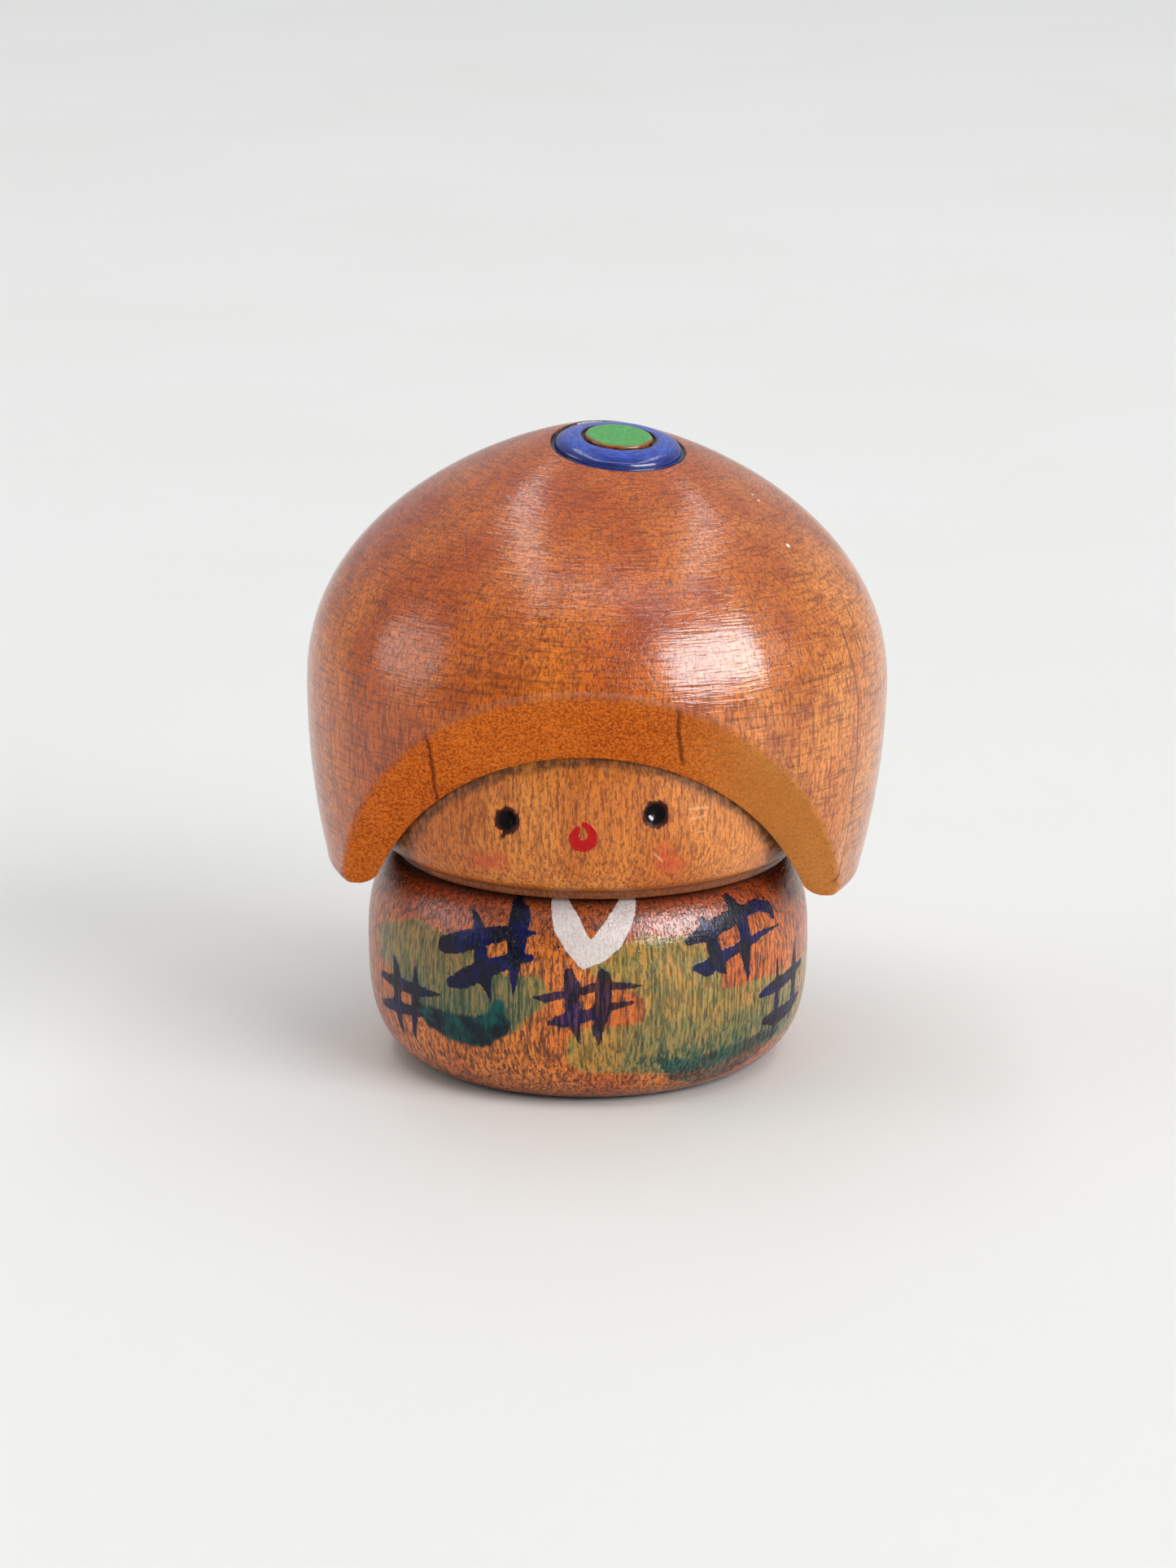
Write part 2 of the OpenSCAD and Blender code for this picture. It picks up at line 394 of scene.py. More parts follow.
TEAL_STROKES = [
    [(-16.4, 7.6, 0.4), (-15, 6.9, 1), (-12.5, 6.5, 1.3), (-9.8, 6.5, 1.4), (-7.9, 7.5, 1.2),
     (-7.7, 9.2, 0.6)],
    [(6.4, 4.3, 0.3), (8.3, 3.1, 1.1), (11, 2.7, 1.6), (14, 3, 1.6), (17.5, 3.7, 1.2),
     (20, 4.4, 0.5)],
    [(36, 7.4, 0.3), (39, 6.4, 1), (42.5, 6.2, 1.1), (44.8, 7.6, 0.5)],
    [(-41.5, 5, 0.4), (-38, 5.2, 1.1), (-34, 6.6, 0.9)],
]


def shifted(stroke, du, dv):
    """The same stroke at another place."""
    return [(u + du, v + dv, w) for u, v, w in stroke]


def towards_neck(profile):
    """How far each row moves to the neck's axis: not at the shoulder, all the way in the socket."""
    socket_r = DOWEL_R + SOCKET_PLAY + SOCKET_EDGE
    share = np.clip((SHOULDER_R - profile[:, 0]) / (SHOULDER_R - socket_r), 0, 1)
    share[:profile[:, 0].argmax()] = 0
    return NECK_X * share


def painted_body():
    """The body's grid, with its socket on the neck's axis, and its paint."""
    profile = body_profile()
    angles = ring(BODY_COLUMNS)
    u = angles[None, :] * BODY_R
    v = profile[:, 1:]
    around = 2 * math.pi * BODY_R
    marks = list(NAVY_MARKS)
    for number, du, dv in BACK_MARKS:
        load, strokes = NAVY_MARKS[number]
        marks.append((load, [shifted(stroke, du, dv) for stroke in strokes]))
    distances = np.array([strokes_distance(u, v, strokes, around) for load, strokes in marks])
    loads = np.array([load for load, strokes in marks])
    attributes = {
        "turned": turned_coordinates(arc_length(profile)[:, None], angles),
        "navy": distances.min(0),
        "navy_load": loads[distances.argmin(0)],
        "white": strokes_distance(u, v, COLLAR_STROKES, around),
        "olive": strokes_distance(u, v, OLIVE_STROKES, around),
        "teal": strokes_distance(u, v, TEAL_STROKES, around),
    }
    grid = revolve(profile, angles)
    grid[..., 0] += towards_neck(profile)[:, None]
    return grid, attributes


# ---- face
# Places on the head: u the way round it at its widest, v the height.
EYES = [(-7.4, 25.7, 1.15), (5.2, 26.4, 1.2)]  # u, v and radius of each burnt eye
EYE_DEPTH = 0.6
FACE_SPACING = 0.28  # spacing of the head's columns mid-face, against even spacing
EYE_DRIP = [(-7.6, 24.9, 0.4), (-7.7, 24.4, 0.25)]
MOUTH_STROKE = [
    (-1.35, 25.35, 0.25), (-1.7, 24.7, 0.4), (-1.45, 24, 0.5), (-0.85, 23.85, 0.5),
    (-0.25, 24.15, 0.48), (-0.1, 24.9, 0.38), (-0.45, 25.5, 0.3), (-0.85, 25.75, 0.2),
]
BLUSH_STROKES = [
    [(-10.3, 21.8, 0.9), (-8.2, 21.9, 0.9)],
    [(5.9, 23.2, 0.8), (6.3, 22, 1), (7.4, 21.7, 0.7)],
]
GLINT_STROKE = [(4.75, 26.15, 0.12), (4.95, 25.95, 0.14)]
SPECK_STROKE = [(-5.95, 23.48, 0.06), (-5.6, 23.55, 0.07)]
SCRATCH_STROKES = [
    [(8.1, 26.6, 0.05), (9.9, 26.55, 0.07)],
    [(8.2, 25.7, 0.04), (9.6, 25.9, 0.06)],
    [(8.3, 24.7, 0.05), (9.5, 24.5, 0.04)],
    [(5.1, 23, 0.05), (5.8, 22.3, 0.05)],
]


def face_angles():
    """Angles round the head, close together over the face and wide apart behind it."""
    t = np.linspace(-1, 1, HEAD_COLUMNS, endpoint=False)
    return math.pi * (FACE_SPACING * t + (1 - FACE_SPACING) * t ** 5)


def past_cut(facing, z):
    """How far past the plane of the cut a point is, measured level, below 0 behind it.

    facing is how far the point reaches towards the cut, and z its height.
    """
    return facing - float(hood_radius(BROW_Z)) + (BROW_Z - z) * math.tan(CUT_TILT)


def in_front_of_cut(points):
    """How far points of the frame stand in front of the hood's cut."""
    x, y, z = (points[..., i] for i in range(3))
    return past_cut(-(y * math.cos(CUT_YAW) + x * math.sin(CUT_YAW)), z)


def painted_head():
    """The head's grid, with dimples burnt for the eyes, and its face's paint."""
    profile = head_profile()
    angles = face_angles()
    grid = revolve(profile, angles, NECK_X)
    u = angles[None, :] * HEAD_R
    v = profile[:, 1:]
    outside = (profile[:, :1] > CHIN_R - 1) & (profile[:, 1:] > BODY_H)
    eye = np.min([np.hypot(u - eu, v - ev) - er for eu, ev, er in EYES], axis=0)
    eye = np.minimum(eye, stroke_distance(u, v, EYE_DRIP))
    depth = EYE_DEPTH * (0.5 - 0.5 * np.cos(math.pi * np.clip(-eye / EYES[0][2], 0, 1))) * outside
    inward = 1 - depth / np.maximum(profile[:, :1], 1)
    grid[..., 0] = NECK_X + (grid[..., 0] - NECK_X) * inward
    grid[..., 1] *= inward
    glued_top = profile[:, 1:] > CEILING - 0.01
    grid[..., 2] -= (grid[..., 0] - NECK_X) * math.tan(HOOD_LEAN) * glued_top
    attributes = {
        "turned": turned_coordinates(arc_length(profile)[:, None], angles),
        "eye": eye,
        "red": stroke_distance(u, v, MOUTH_STROKE),
        "blush": strokes_distance(u, v, BLUSH_STROKES),
        "speck": stroke_distance(u, v, SPECK_STROKE),
        "glint": stroke_distance(u, v, GLINT_STROKE),
        "scratch": strokes_distance(u, v, SCRATCH_STROKES),
        "chin": np.broadcast_to(v, grid.shape[:2]) - (BODY_H + CHIN_BEVEL),
        "seam": in_front_of_cut(grid),
    }
    return grid, attributes


# ---- hood
HOOD_COLUMNS = 420
MORPH_R = 15.0  # radius where the rings round the button have become rings round the axis
CROWN_RINGS = 30
CROWN_CROWDING = 1.15  # above 1 to bring those rings closer together at the button
OUTSIDE_ROWS = 84
HOLLOW_ROWS = 34
RIM_HALF = 0.9  # longest half span of the rim that a column off the cut gets
RIM_WIDENING = 0.7  # how fast that span grows with the distance from the cut
LINE_FADE = 1.2  # length over which a grain line fades at each end
# Dark lines where upright sheets of the grain meet the surface: the turn of the sheet in
# degrees, how far it passes beside the axis, its lean, its lowest and highest point, its width.
GRAIN_LINES = [
    (62, 0, 0.04, 17.5, 41.5, 0.2),
    (67, 0, 0, 36.5, 43.5, 0.14),
    (0, -12.95, 0.1, 25.8, 34.5, 0.26),
    (0, 7.5, 0.09, 30.2, 37.2, 0.32),
    (-36.5, 0, 0.9, 46.8, 49.6, 0.12),
    (147, 0, 0.05, 24, 40, 0.18),
    (-118, 0, -0.06, 18, 31, 0.16),
]
RED_BROWN = (140, 42, 12)
# Red-brown blotches of the grain: turn in degrees, height, radius
BLOTCHES = [
    (42.5, 42.3, 1.6),
    (10.9, 43.5, 2.2),
    (53, 50.5, 1.8),
    (26, 45.5, 1.2),
    (-28, 36.5, 1.6),
    (-140, 40, 2),
    (120, 35, 2.2),
]
# Tiny chips in the varnish: turn in degrees, height, radius
CHIPS = [(58.4, 47.3, 0.2), (67, 50.7, 0.1), (66.2, 50.3, 0.12)]


def to_frame(points):
    """Leans the hood's own upright axis on the head, as the CAD part does."""
    c, s = math.cos(HOOD_LEAN), math.sin(HOOD_LEAN)
    x, y, z = points[..., 0], points[..., 1], points[..., 2] - BODY_H
    return np.stack([NECK_X + c * x + s * z, y, BODY_H - s * x + c * z], axis=-1)


def button_frame():
    """The button's origin and its three axes, the last along its own turning axis."""
    reach = math.hypot(*BUTTON_POS)
    near, far = hood_height(abs(reach - BUTTON_R)), hood_height(reach + BUTTON_R)
    origin = np.array([*BUTTON_POS, (near + far) / 2 - BUTTON_SINK])
    turn = math.atan2(BUTTON_POS[1], BUTTON_POS[0])
    c, s = math.cos(BUTTON_TILT), math.sin(BUTTON_TILT)
    away = np.array([math.cos(turn), math.sin(turn), 0])
    side = np.array([-math.sin(turn), math.cos(turn), 0])
    up = np.array([0, 0, 1])
    return origin, away * c - up * s, side, away * s + up * c


def button_profile():
    """The button from its middle, over the inner groove, to the foot of its pocket's wall."""
    slope_r = BUTTON_EYE_R + GROOVE_W
    groove = BUTTON_SHOULDER - GROOVE_D
    turn = np.linspace(0, math.pi / 2, 18)
    slope = np.column_stack([
        slope_r + (BUTTON_R - slope_r) * np.sin(turn),
        BUTTON_SHOULDER * np.cos(turn),
    ])
    return np.vstack([
        path([
            (BUTTON_CENTRE_R, BUTTON_H),
            (BUTTON_EYE_R - BUTTON_BEVEL, BUTTON_H),
            (BUTTON_EYE_R, BUTTON_H - BUTTON_BEVEL),
            (BUTTON_EYE_R + GROOVE_LEAN, groove),
            (slope_r - GROOVE_LEAN, groove),
            (slope_r, BUTTON_SHOULDER),
        ], [10, 3, 3, 3, 3]),
        slope,
        path([
            (BUTTON_R, -POCKET_START),
            (BUTTON_R + POCKET_LEAN, -GROOVE_D),
            (BUTTON_R + GROOVE_W - POCKET_INSET, -GROOVE_D),
        ], [2, 3]),
    ])


def button_rows(angles):
    """Rows of points over the button, its origin, the directions round it and its axis."""
    profile = button_profile()
    origin, away, side, axis = button_frame()
    facing = np.stack([np.sin(angles), -np.cos(angles), np.zeros_like(angles)], axis=-1)
    flat = np.stack([facing @ away, facing @ side], axis=-1)
    flat /= np.linalg.norm(flat, axis=1)[:, None]
    around = flat[:, :1] * away + flat[:, 1:] * side
    rows = origin + profile[:, :1, None] * around + profile[:, 1:, None] * axis
    return rows, origin, around, axis


def pocket_edge(origin, around, axis):
    """The foot of the pocket's wall for each angle, and its height up to the hood."""
    wall = origin + (BUTTON_R + GROOVE_W) * around
    height = np.zeros(len(around))
    for _ in range(12):
        point = wall + height[:, None] * axis
        height += hood_height(np.hypot(point[:, 0], point[:, 1])) - point[:, 2]
    return wall, height


def cut_spans(profile, lengths, lip_top, turn):
    """The lengths where each column enters and leaves the front cut, and whether it meets it.

    A column that misses the cut gets a short span of the rim that widens away from the cut,
    so that the rows stay even round the whole hood.
    """
    front = past_cut(profile[:, :1] * np.cos(turn), profile[:, 1:])
    lip = (profile[:, 1] < lip_top) & (profile[:, 1] > RIM_Z - 1)
    enter, leave = np.zeros(len(turn)), np.zeros(len(turn))
    cut = (front > 0).any(axis=0)
    for column in np.flatnonzero(cut):
        inside = np.flatnonzero(front[:, column] > 0)
        a, b = inside[0], inside[-1]
        before, after = front[a - 1, column], front[a, column]
        enter[column] = np.interp(0, [before, after], lengths[a - 1:a + 1])
        before, after = front[b, column], front[b + 1, column]
        leave[column] = np.interp(0, [-before, -after], lengths[b:b + 2])
    last_turn = np.abs(turn[cut]).max()
    lip_rows = np.flatnonzero(lip)
    for column in np.flatnonzero(~cut):
        lowest = lengths[lip_rows[front[lip_rows, column].argmax()]]
        half = min(RIM_HALF, RIM_WIDENING * (abs(turn[column]) - last_turn) * RIM_R)
        enter[column], leave[column] = lowest - half, lowest + half
    return enter, leave, cut


def along(first, last, count):
    """Rows of lengths from first to last, for each column."""
    share = np.linspace(0, 1, count)[:, None]
    return first + (last - first) * share


def rounded(before, corner, after, shares):
    """Rows of points round a corner, at shares of the way from before to after."""
    t = shares[:, None, None]
    return before * (1 - t) ** 2 + 2 * corner * t * (1 - t) + after * t ** 2


def crown_rows(edge, facing, profile, lengths):
    """Rows from the pocket's edge out to where the rings are concentric, and their lengths."""
    share = (np.linspace(0, 1, CROWN_RINGS) ** CROWN_CROWDING)[:, None, None]
    plan = edge * (1 - share) + MORPH_R * facing * share
    reach = np.hypot(plan[..., 0], plan[..., 1])
    rows = np.dstack([plan, hood_height(reach)[..., None]])
    return rows, np.interp(reach, profile[:CROWN_ROWS, 0], lengths[:CROWN_ROWS])


def section_rows(profile, lengths, lip_top, turn):
    """Rows below the crown as (radius, height): the outside, the front cut, then the hollow.

    Comes with their lengths, how far they are on the cut and whether they are inside, 0 to 1.
    """
    def at(where):
        return np.stack([
            np.interp(where, lengths, profile[:, 0]),
            np.interp(where, lengths, profile[:, 1]),
        ], axis=-1)

    start = np.interp(MORPH_R, profile[:CROWN_ROWS, 0], lengths[:CROWN_ROWS])
    enter, leave, cut = cut_spans(profile, lengths, lip_top, turn)
    corner_out, corner_in = at(enter), at(leave)
    width = np.linalg.norm(corner_in - corner_out, axis=-1)
    sanded = np.minimum(SANDED_EDGE, 0.4 * width)
    crisp = np.minimum(CRISP_EDGE, 0.2 * width)
    inward = (corner_in - corner_out) / np.maximum(width, 1e-6)[:, None]
    flat_start = corner_out + inward * sanded[:, None]
    flat_end = corner_in - inward * crisp[:, None]

    outer_s = along(start, enter - sanded, OUTSIDE_ROWS)[1:]
    inner_s = along(leave + crisp, lengths[-1], HOLLOW_ROWS)
    rise = np.linspace(0, 1, 7)[1:-1]
    band = np.concatenate([
        rounded(at(enter - sanded), corner_out, flat_start, rise),
        flat_start + (flat_end - flat_start) * np.linspace(0, 1, 10)[:, None, None],
        rounded(flat_end, corner_in, at(leave + crisp), np.array([0.33, 0.67])),
    ])
    band_s = along(enter - sanded, leave + crisp, len(band) + 2)[1:-1]
    band = np.where(cut[None, :, None], band, at(band_s))

    rows = np.concatenate([at(outer_s), band, at(inner_s)])
    first, last = len(outer_s), len(outer_s) + len(band)
    on_cut = np.zeros(rows.shape[:2])
    on_cut[first:last] = 1
    on_cut[first:first + len(rise)] = rise[:, None]
    inside = np.zeros(rows.shape[:2])
    inside[last:] = 1
    return rows, np.concatenate([outer_s, band_s, inner_s]), on_cut * cut, inside


def hood_grid():
    """The hood's grid, from the button's middle to the ceiling, and its attributes."""
    angles = ring(HOOD_COLUMNS)
    facing = np.stack([np.sin(angles), -np.cos(angles)], axis=-1)
    turn = (angles + CUT_YAW + math.pi) % (2 * math.pi) - math.pi
    profile, lip_top = bell_profile()
    lengths = arc_length(profile)

    button, origin, around, axis = button_rows(angles)
    wall, height = pocket_edge(origin, around, axis)
    bottom_of_wall = wall - GROOVE_D * axis
    top_of_wall = wall + (height[:, None] - POCKET_BEVEL) * axis
    middle = np.concatenate([button, bottom_of_wall[None], top_of_wall[None]])
    edge = (wall + height[:, None] * axis)[:, :2] + POCKET_BEVEL * facing
    crown, crown_s = crown_rows(edge, facing, profile, lengths)
    section, section_s, on_cut, inside = section_rows(profile, lengths, lip_top, turn)

    upper = np.concatenate([middle, crown])
    lower = np.dstack([section[..., :1] * facing, section[..., 1:]])
    offset = upper - origin
    from_button = np.linalg.norm(offset - (offset @ axis)[..., None] * axis, axis=-1)
    grid_s = np.concatenate([np.linalg.norm(middle - origin, axis=-1), crown_s, section_s])
    nothing = np.zeros(upper.shape[:2])
    attributes = {
        "turned": turned_coordinates(grid_s, angles),
        "on_cut": np.concatenate([nothing, on_cut]),
        "inside": np.concatenate([nothing, inside]),
        "from_button": np.concatenate([from_button, np.full(lower.shape[:2], FAR)]),
    }
    return to_frame(np.concatenate([upper, lower])), attributes


# ---- node graphs
def linear(red, green, blue):
    """A display colour, 0 to 255 each, as the linear colour that shaders take."""
    return tuple(
        c / 12.92 if c <= 0.04045 else ((c + 0.055) / 1.055) ** 2.4
        for c in (red / 255, green / 255, blue / 255)
    ) + (1.0,)


class Graph:
    """Short names for the nodes of a material or a world. Every helper returns a socket."""

    def __init__(self, name, data=bpy.data.materials, shader="BSDF_PRINCIPLED"):
        self.owner = data.new(name)
        self.owner.use_nodes = True
        self.tree = self.owner.node_tree
        self.shader = next(n for n in self.tree.nodes if n.type == shader)

    def feed(self, socket, value):
        """Links a socket to another one, or sets its value."""
        if isinstance(value, bpy.types.NodeSocket):
            self.tree.links.new(value, socket)
        else:
            socket.default_value = value

    def add(self, kind, inputs, output=0, **settings):
        """An output of a new node."""
        node = self.tree.nodes.new("ShaderNode" + kind)
        for key, value in settings.items():
            setattr(node, key, value)
        for key, value in inputs.items():
            self.feed(node.inputs[key], value)
        return node.outputs[output]

    def attribute(self, name, output="Fac"):
        return self.add("Attribute", {}, output, attribute_name=name)

    def vector(self, name):
        return self.attribute(name, "Vector")

    def stretched(self, vector, x, y, z):
        return self.add("VectorMath", {0: vector, 1: (x, y, z)}, operation="MULTIPLY")

    def place(self):
        """The point on the piece, in millimetres."""
        point = self.add("TexCoord", {}, "Object")
        return self.stretched(point, MM, MM, MM)

    def parts(self, vector):
        """The three numbers of a vector."""
        node = self.tree.nodes.new("ShaderNodeSeparateXYZ")
        self.feed(node.inputs[0], vector)
        return tuple(node.outputs)

    def calc(self, operation, a, b=0.0, c=0.0):
        return self.add("Math", {0: a, 1: b, 2: c}, operation=operation)

    def times(self, a, b):
        return self.calc("MULTIPLY", a, b)

    def weighted(self, first, *others):
        """The sum of numbers, each given with its weight."""
        total = self.times(*first)
        for value, weight in others:
            total = self.calc("MULTIPLY_ADD", value, weight, total)
        return total

    def measure(self, operation, a, b):
        """A number from two vectors."""
        return self.add("VectorMath", {0: a, 1: b}, "Value", operation=operation)

    def noise(self, vector, scale, detail=2.0, roughness=0.5, distortion=0.0):
        inputs = {
            "Vector": vector, "Scale": scale, "Detail": detail,
            "Roughness": roughness, "Distortion": distortion,
        }
        return self.add("TexNoise", inputs, "Fac")

    def ease(self, value, start, end, low=0.0, high=1.0):
        """low at start and high at end, eased in between and held outside."""
        inputs = {"Value": value, "From Min": start, "From Max": end, "To Min": low, "To Max": high}
        return self.add("MapRange", inputs, interpolation_type="SMOOTHSTEP")

    def near(self, name, start, end, most=1.0):
        """From 0 where an attribute is at start to most where it is at end."""
        return self.ease(self.attribute(name), start, end, 0.0, most)

    def mix(self, share, a, b, blend="MIX"):
        """Between two colours."""
        return self.add("Mix", {0: share, 6: a, 7: b}, 2, data_type="RGBA", blend_type=blend)

    def over(self, colour, *layers):
        """A colour with others laid over it, each given as its share, red, green and blue."""
        for share, *paint in layers:
            colour = self.mix(share, colour, linear(*paint))
        return colour

    def blend(self, share, a, b):
        """Between two numbers."""
        return self.add("Mix", {0: share, 2: a, 3: b}, 0, data_type="FLOAT")

    def bump(self, height, distance):
        """A surface normal. A height of 1 stands distance millimetres high."""
        return self.add("Bump", {"Height": height, "Distance": distance / MM})

    def finish(self, **inputs):
        """Feeds the shader's sockets, named with underscores for spaces."""
        for key, value in inputs.items():
            self.feed(self.shader.inputs[key.replace("_", " ")], value)
        return self.owner


# ---- wood
def grain(g, light, middle, dark, depth=1.0, ring_pitch=3.2, pith=(-46.0, 30.0)):
    """Close-grained turned wood with its fibres upright, its pores as dark as depth says.

    Returns its colour, and the heights of its pores and of its fibres.
    """
    p = g.place()
    fibre = g.noise(g.stretched(p, 1, 1, 0.08), 3.4, 4.0, 0.65)
    pores = g.noise(g.stretched(p, 1, 1, 0.2), 4.6, 2.0, 0.6)
    stipple = g.noise(g.stretched(p, 1, 1, 0.55), 4.2, 3.0, 0.65)
    cloud = g.noise(g.stretched(p, 1, 1, 0.4), 0.11, 4.0, 0.55)

    x, y, _ = g.parts(p)
    wander = g.noise(g.stretched(p, 1, 1, 0.3), 0.12, 2.0)
    across = g.calc("SUBTRACT", x, pith[0])
    back = g.calc("SUBTRACT", y, pith[1])
    reach = g.calc("SQRT", g.calc("MULTIPLY_ADD", across, across, g.times(back, back)))
    reach = g.calc("MULTIPLY_ADD", wander, 7.0, reach)
    year = g.calc("FRACT", g.calc("DIVIDE", reach, ring_pitch))
    late_wood = g.times(g.ease(year, 0.5, 0.96), g.ease(year, 1.0, 0.96))

    pore = g.ease(pores, 0.53, 0.6)
    colour = g.mix(g.ease(cloud, 0.38, 0.62), light, middle)
    for share in [
        g.times(late_wood, 0.15),
        g.ease(fibre, 0.46, 0.66, 0.0, 0.4 * depth),
        g.ease(stipple, 0.5, 0.64, 0.0, 0.45 * depth),
        g.times(pore, 0.45 * depth),
    ]:
        colour = g.mix(share, colour, dark)
    return colour, pore, fibre


def lathe_lines(g):
    """Marks left round a turned surface by the tool and the sandpaper, broad and fine."""
    turned = g.vector("turned")
    broad = g.noise(g.stretched(turned, 2.2, 2.2, 1.5), 1.0, 3.0, 0.6)
    fine = g.noise(g.stretched(turned, 8.0, 8.0, 3.6), 1.0, 2.0, 0.6)
    return broad, fine


def paint_mask(g, name, soft=0.06, ragged=0.3):
    """1 inside an attribute's strokes and 0 outside, with an edge that frays along the grain."""
    p = g.place()
    fray = g.noise(g.stretched(p, 1, 1, 0.3), 3.2, 3.0, 0.6)
    gap = g.calc("MULTIPLY_ADD", g.calc("SUBTRACT", fray, 0.5), ragged, g.attribute(name))
    return g.ease(gap, soft, -soft)


def barrel_tone_and_shade(g, colour, height):
    """The barrel darker red-brown towards the shoulder, with painted shade on its flat top and at its
    foot.
    """
    return g.over(
        colour,
        (g.ease(height, 13.0, 17.6, 0.0, 0.68), 146, 44, 14),
        # painted shade on the flat top, in the gap under the head
        (g.ease(height, 17.5, 18.2, 0.0, 0.85), 30, 10, 4),
        # painted shade at the foot, darkest as a contact shadow at the floor
        (g.ease(height, 3.4, 0.0, 0.0, 0.5), 96, 34, 6),
        (g.ease(height, 0.7, 0.1, 0.0, 0.7), 40, 16, 6),
    )


def green_washes(g, colour, x, streak, blotch):
    """The olive washes, darker on the left as painted shade away from the window, with teal pools and
    their haze.

    Returns the colour and where the pools are.
    """
    washed = paint_mask(g, "olive", 0.3, 0.7)
    green = g.mix(g.ease(blotch, 0.4, 0.62), linear(180, 154, 64), linear(134, 148, 68))
    colour = g.mix(g.times(washed, g.blend(streak, 0.5, 0.84)), colour, green)
    # painted shade: the washes darker on the left, away from the window
    left_shade = g.times(g.ease(x, -2.0, -10.0, 0.0, 0.5), washed)
    left_shade = g.times(left_shade, g.blend(streak, 0.6, 1.0))
    haze = g.times(g.near("teal", 5.5, 0.0, 0.85), g.blend(streak, 0.5, 1.0))
    colour = g.over(colour, (left_shade, 62, 84, 44), (g.times(haze, washed), 12, 96, 72))
    teal = g.times(paint_mask(g, "teal", 0.22, 0.7), g.ease(x, 2.0, 9.0, 1.0, 0.72))
    pool = g.mix(g.ease(blotch, 0.4, 0.6), linear(0, 28, 44), linear(0, 84, 80))
    return g.mix(teal, colour, pool), teal


def navy_marks(g, colour, streak, blotch):
    """The hatch marks, thinner from a dry brush. Returns the colour and where they are."""
    thin = g.times(g.attribute("navy_load"), g.blend(streak, 0.7, 1.2))
    navy = g.times(paint_mask(g, "navy", 0.05, 0.5), g.ease(thin, 0.1, 0.7, 0.76, 1.0))
    ink = g.mix(g.ease(blotch, 0.4, 0.62), linear(0, 0, 30), linear(6, 12, 84))
    return g.mix(navy, colour, ink), navy


def varnished(g, colour, roughness, relief, depth, coat, coat_roughness):
    """The varnished material. A relief of 1 stands depth millimetres high."""
    normal = g.bump(relief, depth)
    return g.finish(
        Base_Color=colour,
        Roughness=roughness,
        Specular_IOR_Level=0.1,
        Normal=normal,
        Coat_Weight=coat,
        Coat_Roughness=coat_roughness,
        Coat_Normal=normal,
    )


def body_material():
    """Varnished wood with green washes, navy marks and a white collar."""
    g = Graph("body_paint_and_varnish")
    p = g.place()
    x, _, height = g.parts(p)
    colour, pore, fibre = grain(g, linear(240, 134, 44), linear(220, 106, 22), linear(90, 26, 2), 1.1)
    broad, fine = lathe_lines(g)
    streak = g.ease(fibre, 0.36, 0.6)
    blotch = g.noise(p, 0.45, 3.0, 0.6)
    colour = barrel_tone_and_shade(g, colour, height)
    colour, teal = green_washes(g, colour, x, streak, blotch)
    colour, navy = navy_marks(g, colour, streak, blotch)
    shade = linear(120, 104, 92)
    colour = g.mix(g.ease(fibre, 0.44, 0.62, 0.0, 0.7), colour, shade, "MULTIPLY")
    colour = g.mix(g.times(pore, 0.55), colour, shade, "MULTIPLY")
    white = paint_mask(g, "white", 0.05, 0.25)
    chalk = g.noise(p, 4.5, 4.0, 0.7)
    cover = g.times(g.ease(chalk, 0.34, 0.56, 0.7, 0.98), g.ease(blotch, 0.3, 0.6, 0.9, 1.0))
    colour = g.over(colour, (g.times(white, cover), 228, 218, 214))

    relief = g.weighted((pore, -0.9), (fibre, 1.3), (fine, 0.6), (blotch, 2.0), (navy, 0.6), (white, 1.4))
    roughness = g.ease(broad, 0.3, 0.7, 0.36, 0.5)
    coat = g.blend(g.calc("MAXIMUM", navy, teal), 0.75, 0.3)
    return varnished(g, colour, roughness, relief, 0.036, coat, 0.1)


